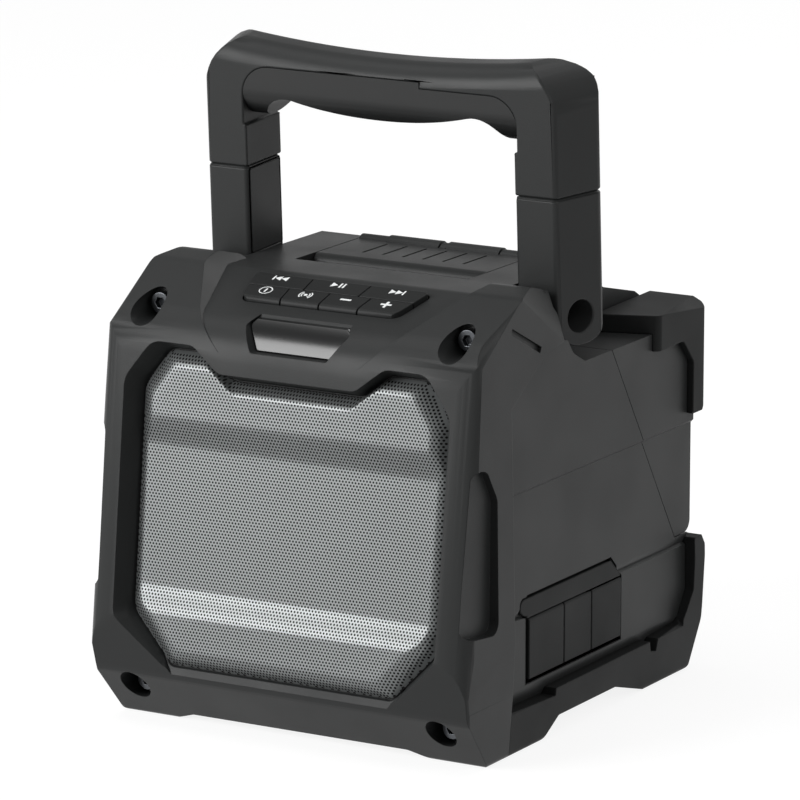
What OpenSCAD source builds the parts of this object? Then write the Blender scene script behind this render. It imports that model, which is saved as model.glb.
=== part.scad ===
// Rugged portable bluetooth speaker with a folding carry handle and a battery lid at the back.
// The front faces -Y, the feet stand on Z = 0 and the origin is under the middle of the body.

/* [Body] */
// Width across the front cover
body_w = 174; // [170:1:182]
// Depth from the front lip to the rear bumpers
body_d = 200; // [197:1:206]
// Height of the top deck
deck_z = 178.5; // [177:0.5:181]
// Height of the ledges beside the deck
ledge_z = 147.5; // [146:0.5:148.5]
// Wall thickness of the hard mouldings
wall = 3; // [2.6:0.1:3.4]
// How far the front cover stands proud of the side walls
cover_proud = 3; // [2:0.5:4]
// Depth of the front cover's side flanges
cover_depth = 40; // [38:1:43]
// Inward step of the side walls at each horizontal line
side_step = 1.2; // [0.8:0.1:1.4]
// Height of the upper step line of the side walls
upper_line_z = 104; // [99:1:106]
// Height of the lower step line, where the lid ends
lower_line_z = 58; // [57:0.5:59]
// Ground clearance between the feet
belly_z = 8; // [6:0.5:9]
// Width of the bay beside the deck that takes a handle arm
arm_bay = 26.5; // [26:0.5:28]

/* [Front face] */
// Backward lean of the front face in degrees
front_lean = 6.8; // [5:0.2:8]
// Height where the leaning face starts above the chin
lip_low_z = 46; // [42:1:50]
// Radius from the front face to the control deck
crease_r = 20; // [12:1:22]
// Radius of the front cover's upright corners
corner_r = 11; // [6:1:13]
// Slope of the control deck in degrees
panel_slope = 16.5; // [14:0.5:18]
// Height of the lower end of the key field
panel_z = 170.9; // [170:0.1:171.5]
// Distance of the key field behind the front lip
panel_back = 36.5; // [35:0.5:38]

/* [Grille] */
// Half width of the grille opening at its lip
opening_x = 74.3; // [72:0.1:75]
// Narrowing of the opening from its lip to the grille on each side
opening_inset = 4; // [3:0.5:5]
// Depth of the grille seat behind the lip
seat_depth = 10.5; // [9.5:0.5:11.5]
// Thickness of the grille sheet
grille_t = 1.2; // [0.8:0.1:1.5]
// Depth of the channel across the middle of the grille
channel_depth = 3.4; // [2:0.2:4]
// Depth of the baffle behind the lip
baffle_depth = 20; // [18:0.5:22]

/* [Controls] */
// Length of the key field up the slope
keys_len = 21; // [20:0.2:23]
// Half width of the key field at its front edge
keys_front_x = 35; // [33:0.2:37]
// Half width of the key field at its rear edge
keys_rear_x = 40; // [38:0.2:42]
// Gap between neighbouring keys
key_gap = 0.5; // [0.4:0.1:0.8]
// Depth of a key below the deck
key_t = 4.3; // [3.8:0.1:4.8]
// How far the keys stand proud of the deck
key_proud = 2; // [1.5:0.1:2.5]
// Travel of a key
key_travel = 1; // [0.6:0.1:1.2]

/* [Handle] */
// Distance of the handle pivot behind the front lip
pivot_back = 98; // [97:0.5:99]
// Height of the handle pivot
pivot_z = 166; // [165:0.5:167]
// Forward lean of the handle in degrees
handle_lean = 3; // [2:0.5:3.5]
// Depth of the handle arms
arm_d = 26.5; // [25:0.5:27]
// Width of the front face of an arm
arm_w = 18.3; // [17:0.1:19]
// Extra width of an arm at its rear edge
arm_flare = 8.5; // [6:0.1:9]
// Height of the handle above its pivot
handle_h = 101; // [97:1:105]
// Height of the joint between arm and bow above the pivot
arm_h = 49; // [44:1:54]
// Sag of the top of the bow between its ends
bow_sag = 4.2; // [2:0.2:6]
// Radius of the pivot bolts
bolt_r = 4; // [3:0.5:4.5]
// Radius of the bolt recess in an arm
bolt_recess_r = 6.5; // [6:0.5:7]

/* [Battery lid] */
// Angle of the lid seam from vertical in degrees
seam_angle = 32.8; // [31:0.2:34]
// Distance of the seam's upper end in front of the rear bumpers
seam_back = 77; // [76:0.5:79]
// Radius of the hinge knuckles
hinge_r = 5; // [4.5:0.1:5.5]
// Radius of the hinge pins
pin_r = 1.5; // [1.2:0.1:1.8]
// Half width of the latch lever
lever_x = 39.4; // [36:0.2:41]
// Distance of the lever's front lip behind the front lip of the body
lever_back = 98; // [96:0.5:100]

/* [Ports] */
// Distance of the port flaps behind the front lip
port_back = 57; // [55:0.5:59]
// Length of the row of port flaps
port_len = 78.5; // [76:0.5:80]
// Height of the row's lower edge
port_z = 26; // [25:0.5:28]
// Height of the flaps without their strip
flap_h = 26; // [25:0.5:27]
// Height of the strip above the flaps
strip_h = 9.5; // [8:0.5:10]

/* [Drivers] */
// Outer radius of the woofer frame
woofer_r = 50; // [46:1:51]
// Outer radius of the woofer cone
cone_r = 38; // [34:1:39]
// Radius of the voice coil
coil_r = 13; // [11:0.5:14]
// Travel of the cone each way
cone_travel = 2.5; // [1:0.5:3]
// Outer radius of the tweeter
tweeter_r = 16; // [14:0.5:17]

/* [Fits] */
// Gap between parts that move past each other
move_gap = 0.4; // [0.3:0.05:0.6]
// Running clearance of a pin in its bore
run_gap = 0.05; // [0.02:0.01:0.1]
// Clearance of a part seated in another
seat_gap = 0.15; // [0.1:0.05:0.3]

/* [Hidden] */
$fn = 64;
eps = 0.01;
big = 400;

// Colours
charcoal = "#3c3d3d";
rubber_black = "#2b2c2c";
steel = "#c8c9ca";
board_green = "#2f5d3a";

// Main planes of the body
half_w = body_w / 2;
front_y = -body_d / 2;
rear_y = body_d / 2;
side_x = half_w - cover_proud;
mid_x = side_x - side_step;
low_x = mid_x - side_step / 2;
flange_y = front_y + cover_depth;
tower_x = half_w - arm_bay;
tower_front_y = front_y + 82;
tower_rear_y = rear_y - 60;
base_rear_y = rear_y - 8;
lid_rear_y = rear_y - 6;
inner_x = low_x - wall;
floor_z = belly_z + wall;
pivot_y = front_y + pivot_back;

// The leaning face, the sloping panel and the edge where their planes meet
function front_at(z) = front_y + (z - lip_low_z) * tan(front_lean);
panel_y = front_y + panel_back;
edge_z = (panel_z + (front_at(0) - panel_y) * tan(panel_slope))
    / (1 - tan(front_lean) * tan(panel_slope));
edge_y = front_at(edge_z);
deck_front_y = panel_y + (deck_z - panel_z) / tan(panel_slope);
face_z = 93;

// The joint line between the front cover and the side walls, from the flange up round the shoulder
shoulder_line = [[flange_y, ledge_z - 7.5, 0], [flange_y + 14, ledge_z + 1, 0],
    [flange_y + 28, ledge_z + 9.5, 0], [pivot_y - 14.5, ledge_z + 11.5, 0]];

// The seam of the battery lid
seam_y = rear_y - seam_back;
function seam_at(z) = seam_y + (ledge_z - z) * tan(seam_angle);
hinge_y = lid_rear_y - hinge_r;
hinge_z = lower_line_z + 0.5 + hinge_r;
latch_y = tower_rear_y - 2.5;
latch_z = deck_z - 2.9;

// The handle
arm_r = (arm_d - 3) / 2;
arm_rear = arm_d - arm_r;
arm_in = tower_x + 0.9;
arm_out = arm_in + arm_w;
grip_top = handle_h - 10.7;

// The ports
port_y0 = front_y + port_back;
port_y1 = port_y0 + port_len;
flap_top_z = port_z + flap_h;
strip_top_z = flap_top_z + strip_h;
flap_x = low_x + 0.4;
flap_t = 2.6;
port_floor_x = low_x - 6;
socket_z = port_z + flap_h / 2;

// The drivers, placed on the leaning face: [sideways, up the face]
woofer_at = [-15, -8];
tweeter_at = [49, 26];
frame_t = 3;
basket_depth = 42;

// Corner rounding: each point is [x, y, radius]
function unit(v) = v / norm(v);
function corner_arc(p, a, b, r) =
    let (u = unit(a - p), w = unit(b - p), half = acos(u * w) / 2, reach = r / tan(half),
        mid = p + unit(u + w) * r / sin(half), s = p + u * reach - mid, e = p + w * reach - mid,
        a0 = atan2(s.y, s.x), swing = atan2(e.y, e.x) - a0,
        turn = swing > 180 ? swing - 360 : swing < -180 ? swing + 360 : swing,
        n = max(2, ceil(abs(turn) / 10), ceil(abs(turn) * r / 230)))
    [for (i = [0:n]) mid + r * [cos(a0 + turn * i / n), sin(a0 + turn * i / n)]];
function xy(p) = [p.x, p.y];
function rounded(pts) = let (n = len(pts)) [for (i = [0:n - 1])
    each pts[i][2] > 0
        ? corner_arc(xy(pts[i]), xy(pts[(i + n - 1) % n]), xy(pts[(i + 1) % n]), pts[i][2])
        : [xy(pts[i])]];
// A whole outline from its right half, listed from bottom to top
function mirrored(pts) = concat(pts, [for (i = [len(pts) - 1:-1:0]) [-pts[i].x, pts[i].y, pts[i][2]]]);

module shape(pts) polygon(rounded(pts));
// Extrudes a profile drawn in Y and Z along X
module along_x(x0, x1) translate([x0, 0, 0]) rotate([90, 0, 90]) linear_extrude(x1 - x0) children();
// Extrudes an outline drawn in X and Z along Y
module along_y(y0, y1) translate([0, y1, 0]) rotate([90, 0, 0]) linear_extrude(y1 - y0) children();
// Frame on the leaning face: X sideways, Y up the face, Z out of it
module on_face() translate([0, front_at(face_z), face_z]) rotate([90 - front_lean, 0, 0]) children();
// Frame on the control deck: X sideways, Y up the slope, Z out of it
module on_panel() translate([0, panel_y, panel_z]) rotate([panel_slope, 0, 0]) children();
// Frame at the handle pivot, with Z along the arms
module on_handle() translate([0, pivot_y, pivot_z]) rotate([handle_lean, 0, 0]) children();
module both_sides() {
    children();
    mirror([1, 0, 0]) children();
}
// A block that lies on the side of a plane that its normal points to
module beyond(point, normal) translate(point)
    rotate([0, acos(normal.z / norm(normal)), atan2(normal.y, normal.x)])
    translate([-big / 2, -big / 2, 0]) cube(big);
// A round bar along X
module bar_x(x0, x1, r) translate([x0, 0, 0]) rotate([0, 90, 0]) cylinder(h = x1 - x0, r = r);
// A round bar along Y
module bar_y(y0, y1, r) translate([0, y1, 0]) rotate([90, 0, 0]) cylinder(h = y1 - y0, r = r);

// Outline of the body seen from the front, with the feet
function body_outline(foot_x) = mirrored([[0, belly_z - 4.8, 0], [half_w - 37.6, belly_z - 4.8, 4],
    [foot_x, 0, 6], [half_w - 3, 0, 2.5], [half_w - 1, 26, 12], [half_w, 47, 0], [half_w - 2.2, 150, 0],
    [half_w - 3, deck_z + 8, 0]]);
// Outline of the grille opening, narrowed by a margin; heights are measured up the leaning face
function opening(m) = mirrored([[0, -69.5 + m, 0], [opening_x - 21.3 - m / 2, -69.5 + m, 6],
    [opening_x - 0.5 - m, -47.3 + m / 2, 10], [opening_x - m, 47.3 - m / 2, 10],
    [opening_x - 13.3 - m / 2, 64.5 - m, 7], [opening_x - 34.7 + m / 2, 64.5 - m, 6],
    [opening_x - 46.8 + m / 2, 54.9 - m, 6], [0, 54.9 - m, 0]]);

// Profiles of the front cover seen from the side
module deck_profile() shape(concat([[front_y + 24, 0, 4], [front_y + 5.5, 22, 10], [front_y, lip_low_z, 0],
    [edge_y, edge_z, crease_r], [deck_front_y, deck_z, 10], [tower_front_y, deck_z, 0],
    [tower_front_y, ledge_z + 11.5, 0]],
    [for (i = [2:-1:0]) shoulder_line[i]], [[flange_y, 0, 0]]));
module shoulder_profile() shape(concat([[front_at(110), 110, 0],
    [front_at(deck_z - 15), deck_z - 15, crease_r + 3], [front_y + 50, deck_z + 3, 14],
    [front_y + 63, deck_z + 5, 12], [pivot_y - 23, deck_z + 2, 3], [pivot_y - 13 - 0.3, pivot_z + 3, 3]],
    [for (i = [3:-1:0]) shoulder_line[i]], [[flange_y, 110, 0]]));
// Places of the cover screws, [sideways, height, depth of the head behind the lip]
screw_high = [half_w - 17, deck_z - 11.5, 36];
screw_low = [half_w - 16.7, 15.2, 24];
shank_r = 1.9;
head_r = 4.3;
head_h = 4.5;

module cover_shell() difference() {
    intersection() {
        union() {
            along_x(-half_w, half_w) deck_profile();
            along_x(-half_w, half_w) shoulder_profile();
        }
        along_y(front_y - 1, rear_y) shape(body_outline(half_w - 28));
        on_face() rotate([90, 0, 0]) linear_extrude(big, center = true)
            shape([[-half_w - 1, -big, 0], [half_w + 1, -big, 0], [half_w + 1, 0, corner_r + 1],
                [-half_w - 1, 0, corner_r + 1]]);
    }
    // The control deck lies lower than the shoulders, between slanted flanks
    difference() {
        intersection() {
            beyond([half_w - 36.5, 0, panel_z + 1.1], [-0.675, 0, 0.737]);
            beyond([36.5 - half_w, 0, panel_z + 1.1], [0.675, 0, 0.737]);
        }
        along_x(-half_w, half_w) deck_profile();
    }
    // Room for the tower
    translate([-tower_x, tower_front_y, 0]) cube([2 * tower_x, big, big]);
    // Facets on the front upper corners of the shoulders
    both_sides() beyond([half_w - 6.2, front_y + 21, deck_z - 11.2], [0.72, -0.38, 0.58]);
    // Facets on the front lower corners
    both_sides() beyond([half_w - 0.5, front_y + 3, 38], [0.863, -0.504, -0.157]);
    // Facets on the rear upper corners of the shoulders
    both_sides() beyond([side_x, pivot_y - 14, ledge_z + 11.5], [516, 121, 187]);
}

module cover_hollow() difference() {
    cover_room();
    both_sides() translate([screw_low.x, 0, screw_low.y]) bar_y(front_y, flange_y, 5);
}
module cover_room() intersection() {
    along_x(-half_w, half_w) shape([[front_y + 30, floor_z, 0],
        [front_at(26) + baffle_depth / cos(front_lean), 26, 0],
        [front_at(150) + baffle_depth / cos(front_lean), 150, 0], [panel_y, panel_z - wall - 1, 0],
        [deck_front_y, deck_z - wall - 1, 0], [tower_front_y + 1, deck_z - wall - 1, 0],
        [tower_front_y + 1, floor_z, 0]]);
    along_y(front_y, rear_y) shape(mirrored([[0, floor_z, 0], [half_w - 17, floor_z, 0], [half_w - 7, 26, 0],
        [half_w - 5, 48, 0], [half_w - 7, 139, 0], [half_w - 31, 152, 0], [half_w - 31, deck_z, 0]]));
}

// Room inside a shoulder for the screw post of the housing
module shoulder_room() translate([half_w - 24, flange_y + 4, ledge_z - 12])
    cube([14, 29, deck_z - ledge_z + 6]);

module cover_screw_cut(s) translate([s.x, 0, s.y]) {
    bar_y(front_y - 1, front_y + s.z, head_r + 2);
    bar_y(front_y, rear_y, shank_r + 0.5);
}

// Long pocket in the flange
module flange_pocket() along_x(half_w - 4.5, half_w + 1)
    shape([[front_y + 3, 56, 4], [front_y + 27, 53.5, 5], [front_y + 27.7, 107, 6], [front_y + 20, 119.5, 5],
        [front_y + 11.5, 121.5, 4]]);

module front_cover() color(charcoal) difference() {
    cover_shell();
    cover_hollow();
    both_sides() shoulder_room();
    both_sides() cover_screw_cut(screw_high);
    both_sides() cover_screw_cut(screw_low);
    both_sides() flange_pocket();
    // Grille opening, narrowing from its lip to the seat, and the well behind the seat
    on_face() translate([0, 0, -seat_depth]) linear_extrude(seat_depth + 6,
        scale = 1 + opening_inset * (seat_depth + 6) / seat_depth / opening_x) shape(opening(opening_inset));
    on_face() translate([0, 0, -baffle_depth - 1]) linear_extrude(baffle_depth)
        shape(opening(opening_inset + 4));
    // Sloping sill under the grille
    intersection() {
        beyond([0, front_y + 4.8, 23.2], [0, -0.861, 0.509]);
        along_y(front_y - 1, front_y + 12) shape([[28 - opening_x, 20, 0], [opening_x - 28, 20, 0],
            [opening_x - 18, 32, 0], [18 - opening_x, 32, 0]]);
    }
    // Window opening and key field
    difference() {
        window_prism(move_gap);
        window_back(window_t + run_gap);
    }
    on_panel() translate([0, 0, -big / 2]) linear_extrude(big) key_field(-key_gap);
    // Diagonal groove on each shoulder
    both_sides() translate([half_w - 4, flange_y + 0.7, deck_z - 8.2]) rotate([-26.4, 0, 0])
        translate([0, 0, -1.3]) cube([8, 25.5, 2.6]);
}

// Display window: a flat lens sunk in the edge between face and deck
window_w = [16.8, 23];
window_z = [156.2, 167.4];
window_lean = 33;
window_at = [front_y + 24.5, deck_z - 11.5];
window_t = 2.4;
module window_prism(m) along_y(front_y - 1, front_y + 45) shape(mirrored([[0, window_z[0] - m, 0],
    [window_w[0] + m, window_z[0] - m, 1.5], [window_w[1] + m, window_z[1] - 2.1, 1],
    [window_w[1] - 2.7 + m, window_z[1] + 3 * m, 1], [0, window_z[1] + 3 * m, 0]]));
// Everything behind the face of the lens, sunk by a depth
module window_back(depth) along_x(-half_w, half_w) translate(window_at) rotate(-window_lean)
    translate([depth, -big / 2]) square(big);
module display_window() color("#1b1c1d") difference() {
    intersection() {
        window_prism(0);
        window_back(0);
    }
    window_back(window_t);
}

// Key field and keys, drawn on the control deck
function field_x(v) = keys_front_x + (keys_rear_x - keys_front_x) * v / keys_len;
module key_field(m) shape([[-field_x(0) + m, m, 5], [field_x(0) - m, m, 5],
    [field_x(keys_len) - m, keys_len - m, 3], [-field_x(keys_len) + m, keys_len - m, 3]]);
key_row = keys_len / 2;
// One key, between two shares of the row's width, rounded along the edges of the field
module key_cap(row, from, to) color(charcoal) on_panel() intersection() {
    translate([0, 0, -key_t]) linear_extrude(big) intersection() {
        key_field(0);
        let (v0 = row * key_row + (row > 0 ? key_gap / 2 : -1),
            v1 = (row + 1) * key_row + (row > 0 ? 1 : -key_gap / 2),
            g0 = from > -1 ? key_gap / 2 : -2, g1 = to < 1 ? key_gap / 2 : -2)
        polygon([[from * field_x(v0) + g0, v0], [to * field_x(v0) - g1, v0], [to * field_x(v1) - g1, v1],
            [from * field_x(v1) + g0, v1]]);
    }
    rotate([90, 0, 90]) linear_extrude(body_w, center = true) shape([[0, -key_t, 0], [keys_len, -key_t, 0],
        [keys_len, key_proud, 1.2], [0, key_proud, 2.2]]);
}
module key_power() key_cap(0, -1, -0.5);
module key_pairing() key_cap(0, -0.5, 0);
module key_volume_down() key_cap(0, 0, 0.5);
module key_volume_up() key_cap(0, 0.5, 1);
module key_previous() key_cap(1, -1, -1 / 3);
module key_play_pause() key_cap(1, -1 / 3, 1 / 3);
module key_next() key_cap(1, 1 / 3, 1);

board_t = 1.6;
switch_h = 0.8;
board_depth = key_t + key_travel + move_gap + switch_h;
module keypad_board() color(board_green) on_panel() translate([0, 0, -board_depth]) {
    translate([0, 0, -board_t]) linear_extrude(board_t) intersection() {
        key_field(-5);
        translate([-half_w, -2]) square([body_w, keys_len + 6]);
    }
    for (i = [0:3]) translate([(i - 1.5) / 2 * field_x(0), key_row / 2, 0]) cylinder(h = switch_h, r = 2.5);
    for (i = [-1:1]) translate([i * 2 / 3 * field_x(keys_len), key_row * 1.5, 0])
        cylinder(h = switch_h, r = 2.5);
    // Pegs under the deck that the board hangs from
    both_sides() for (v = [4, keys_len - 4]) translate([field_x(v) + 3, v, 0])
        cylinder(h = board_depth - (wall + 1) * cos(panel_slope), r = 1.5);
}

// Formed grille: a pan with a sloping border and a channel across the middle
grille_rise = 5;
pan_rise = 6;
pan_taper = 0.915;
channel_v = [-42, -37, 25, 31];
// Everything behind the face of the grille, sunk by a depth
module grille_back(depth) on_face() translate([0, 0, -depth - grille_rise - grille_t]) rotate([90, 0, 90])
    linear_extrude(2 * half_w, center = true) shape([[-big / 4, grille_t, 0], [channel_v[0], grille_t, 3],
        [channel_v[1], grille_t - channel_depth, 3], [channel_v[2], grille_t - channel_depth, 3],
        [channel_v[3], grille_t, 3], [big / 4, grille_t, 0], [big / 4, -40, 0], [-big / 4, -40, 0]]);
module grille_pan(m) on_face() translate([0, 0, -seat_depth + gasket_t])
    linear_extrude(pan_rise, scale = pan_taper)
    shape(opening(opening_inset + move_gap + m));
gasket_t = 0.8;
module grille() color(steel) difference() {
    intersection() {
        grille_pan(0);
        grille_back(-0.6);
    }
    intersection() {
        grille_pan(grille_t * 1.3);
        grille_back(grille_t - 0.6);
    }
    on_face() translate([0, 0, -seat_depth + gasket_t - eps]) linear_extrude(0.4)
        shape(opening(opening_inset + move_gap + grille_t * 1.3));
}
// Foam ring that the grille presses on its seat
module grille_gasket() color(rubber_black) on_face() translate([0, 0, -seat_depth]) linear_extrude(gasket_t)
    difference() {
        shape(opening(opening_inset + move_gap));
        shape(opening(opening_inset + 4));
    }

// Screw posts of the housing behind the cover's screws
module post_room(s) translate([s.x, 0, s.y]) bar_y(flange_y - 1, flange_y + 40, shank_r + run_gap);
module housing_posts() {
    difference() {
        translate([half_w - 23, flange_y + 4, ledge_z - 25]) {
            cube([12, 12, deck_z - ledge_z + 17.5]);
            cube([side_x - 1 - half_w + 23, 12, 18]);
        }
        post_room(screw_high);
    }
    difference() {
        intersection() {
            translate([screw_low.x - 6, flange_y, belly_z + 1]) cube([12, 12, 13]);
            housing_widths(0);
        }
        post_room(screw_low);
    }
}

// Profile of the housing seen from the side, out to the lid seam
module housing_profile() shape([[flange_y, belly_z, 0], [base_rear_y, belly_z, 4],
    [base_rear_y, lower_line_z, 0], [seam_at(lower_line_z), lower_line_z, 0], [seam_y, ledge_z, 0],
    [pivot_y + 2.5, ledge_z, 5], [pivot_y - 7, ledge_z + 5, 4], [pivot_y - 11.5, ledge_z + 11, 2],
    [pivot_y - 14.5, ledge_z + 11.5, 0],
    shoulder_line[2], shoulder_line[1], shoulder_line[0]]);
// Width of the housing, with a step at the upper line and a groove at the lower one
edge_cut = [8.2, 16];
groove_d = 1.2;
module housing_widths(m) along_y(front_y, rear_y) polygon([for (p = mirrored([
    [low_x - edge_cut.x - m, belly_z, 0], [low_x - m, belly_z + edge_cut.y, 0],
    [low_x - m, lower_line_z - 5, 0], [low_x - groove_d - m, lower_line_z - 4, 0],
    [mid_x - m, lower_line_z - 0.5, 0], [mid_x - m, upper_line_z, 0],
    [side_x - m, upper_line_z + side_step, 0], [side_x - m, deck_z, 0]])) xy(p)]);

// Room in the tower for the latch lever
pocket_z = deck_z - 18.5;
lever_y = front_y + lever_back;
module lever_pocket() along_x(-lever_x - move_gap - 0.2, lever_x + move_gap + 0.2)
    shape([[tower_front_y + wall, pocket_z, 3], [rear_y, pocket_z, 0], [rear_y, big, 0],
        [tower_front_y + wall, big, 0]]);

module housing_hollow() {
    // The main chamber, open to the front and to the lid
    intersection() {
        union() {
            along_x(-half_w, half_w) shape([[front_y, floor_z, 0], [base_rear_y - wall, floor_z, 0],
                [base_rear_y - wall, ledge_z - wall, 0], [front_y, ledge_z - wall, 0]]);
            along_x(-half_w, half_w) shape([[front_y, ledge_z - wall - 1, 0],
                [pivot_y - 20, ledge_z - wall - 1, 0], [pivot_y - 20, deck_z, 0], [front_y, deck_z, 0]]);
        }
        along_y(front_y, rear_y) shape(mirrored([
            [inner_x - edge_cut.x + wall * edge_cut.x / edge_cut.y, floor_z, 0],
            [inner_x, belly_z + edge_cut.y, 0], [inner_x, deck_z, 0]]));
    }
    // The tower above the ledges, under its pocket
    translate([-tower_x + wall, front_y, ledge_z - 10])
        cube([2 * (tower_x - wall), body_d, pocket_z - wall - ledge_z + 10]);
}

module main_housing() color(charcoal) difference() {
    union() {
        difference() {
            union() {
                intersection() {
                    along_x(-half_w, half_w) housing_profile();
                    housing_widths(0);
                }
                translate([-tower_x, tower_front_y, ledge_z - wall])
                    cube([2 * tower_x, tower_rear_y - tower_front_y,
                    deck_z - ledge_z + wall]);
            }
            housing_hollow();
            lever_pocket();
        }
        both_sides() housing_posts();
        board_posts();
        hinge_knuckles();
        // Roof of the base, under the lid
        translate([-inner_x - 1, tray_end_y - 9, lower_line_z - wall])
            cube([2 * inner_x + 2, base_rear_y - 1 - tray_end_y + 9, wall]);
        // Low sill in the pocket that the lever's catch drops in front of
        translate([-12, lever_y + 13, pocket_z - 1]) cube([24, 2, 3]);
    }
    // Bores for the handle bolts, the hinge pin and the ports
    translate([0, pivot_y, pivot_z]) both_sides() bar_x(tower_x - bolt_reach, tower_x + 1, bolt_r);
    translate([0, hinge_y, hinge_z]) bar_x(-pin_half, pin_half, pin_r);
    along_x(low_x - wall - 2, half_w) port_outline(0.6);
    strip_tab(0.9);
}

// Hinge of the lid
pin_half = 46;
knuckle_half = 28;
module hinge_knuckles() {
    translate([0, hinge_y, hinge_z]) bar_x(-knuckle_half, knuckle_half, hinge_r);
    translate([-knuckle_half, hinge_y - hinge_r, lower_line_z - wall])
        cube([2 * knuckle_half, hinge_r, hinge_z - lower_line_z + wall]);
}
module lid_hinge_pin() color(steel) translate([0, hinge_y, hinge_z])
    bar_x(-pin_half + 0.5, pin_half - 0.5, pin_r);

// Slanted tray between the sound chamber and the battery bay
tray_drop = 22;
function tray_at(z) = seam_at(z) - tray_drop;
tray_floor_z = lower_line_z + wall;
tray_top_z = pocket_z - wall - seat_gap;
tray_end_y = hinge_y - norm([lid_rear_y - hinge_r - seam_at(hinge_z - hinge_r), hinge_r]) - 2 * move_gap;
module battery_tray() color(charcoal) difference() {
    intersection() {
        along_x(-half_w, half_w) polygon([[tray_at(tray_top_z) - wall, tray_top_z],
            [tray_at(lower_line_z) - wall, lower_line_z], [tray_end_y, lower_line_z],
            [tray_end_y, tray_floor_z], [tray_at(tray_floor_z), tray_floor_z],
            [tray_at(tray_top_z), tray_top_z]]);
        union() {
            translate([-inner_x + seat_gap, front_y, 0])
                cube([2 * (inner_x - seat_gap), body_d, ledge_z - wall - seat_gap]);
            translate([-tower_x + wall + seat_gap, front_y, 0])
                cube([2 * (tower_x - wall - seat_gap), body_d, deck_z]);
        }
    }
    // Windows for the wiring of the two rails
    on_tray() for (x = rail_at) translate([x, 0, -wall - 1]) linear_extrude(wall + 2)
        square([14, 22], center = true);
}
// Frame on the tray's slanted wall: Z out of it, Y down the slope
module on_tray() translate([0, tray_at(105), 105]) rotate([seam_angle - 90, 0, 0]) children();
rail_at = [-32, 34];
rail_len = 44;
// Slide rail with flanges for a battery pack
module battery_rail(x, w) color(charcoal) on_tray() translate([x, 0, 0]) {
    linear_extrude(5) difference() {
        square([w, rail_len], center = true);
        square([8, 16], center = true);
    }
    for (s = [-1, 1]) translate([s * (w / 2 - 2) - (s > 0 ? 0 : 4), -rail_len / 2, 5]) cube([4, rail_len, 3]);
    for (t = [-1, 1]) translate([t * w / 5 - 0.5, -8, 5]) cube([1, 14, 6]);
}
module battery_rail_wide() battery_rail(rail_at[0], 52);
module battery_rail_narrow() battery_rail(rail_at[1], 36);

// Side skids with the feet and the rear corner bumpers
foot_in = half_w - 28;
module skid_rail() shape([[flange_y, 0, 0], [flange_y + 27, 0, 2], [flange_y + 40, belly_z, 2],
    [rear_y - 73, belly_z, 2], [rear_y - 45, 0, 3], [rear_y - 9, 0, 4], [rear_y, 20, 8], [rear_y, 52, 3],
    [rear_y - 3, lower_line_z - 1.5, 1], [rear_y - 9, lower_line_z - 2, 1], [rear_y - 8.5, 34, 3],
    [rear_y - 17, 21.5, 3], [rear_y - 38, 20, 0], [rear_y - 39, 15, 0], [rear_y - 44, 16, 0],
    [rear_y - 45, 20.3, 0], [flange_y + 36, 20, 0], [flange_y + 36, 17, 0], [flange_y, 18.3, 0]]);
// Sloping top of the rail from one depth to another, starting at a height on its outer face
module rail_facet(y0, y1, z) intersection() {
    beyond([half_w, 0, z], [1, 0, 1]);
    translate([0, y0, 0]) cube([half_w + 1, y1 - y0, lower_line_z]);
}
module skid() color(rubber_black) difference() {
    intersection() {
        along_y(front_y, rear_y + 1) shape(body_outline(foot_in));
        along_x(foot_in, half_w) skid_rail();
    }
    rail_facet(flange_y - 1, flange_y + 36, 16);
    rail_facet(flange_y + 36, rear_y - 42, 18.7);
    rail_facet(rear_y - 39.5, rear_y - 16, 18.7);
    intersection() {
        housing_widths(0);
        translate([0, front_y, belly_z]) cube([half_w, base_rear_y - front_y, ledge_z]);
    }
}
module side_skid_right() skid();
module side_skid_left() mirror([1, 0, 0]) skid();

// Battery lid: a hollow wedge behind the slanted seam, with a raised middle
lid_gap = move_gap;
module lid_profile(m) shape([[seam_at(ledge_z) + lid_gap + (m > 0 ? -20 : 0), ledge_z - m, 0],
    [lid_rear_y - m, ledge_z - m, 0], [lid_rear_y - m, hinge_z - hinge_r + m, m > 0 ? 0 : hinge_r - eps],
    [seam_at(hinge_z - hinge_r) + lid_gap + (m > 0 ? -20 : 0), hinge_z - hinge_r + m, 0]]);
lid_mid_x = tower_x - 0.5;
module lid_mid_profile(m) shape([[tower_rear_y + lid_gap + m, ledge_z - wall - 1, 0],
    [tower_rear_y + lid_gap + m, deck_z - 8.5 - m, 1], [tower_rear_y + 7 - m / 2, deck_z - 8.5 - m, 2],
    [tower_rear_y + 20, deck_z - 14.5 - m, 4], [tower_rear_y + 47, deck_z - 21 - m, 4],
    [lid_rear_y - m, deck_z - 25 - m, 2], [lid_rear_y - m, ledge_z - wall - 1, 0]]);
knuckle_x = [1.9, 26];
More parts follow.
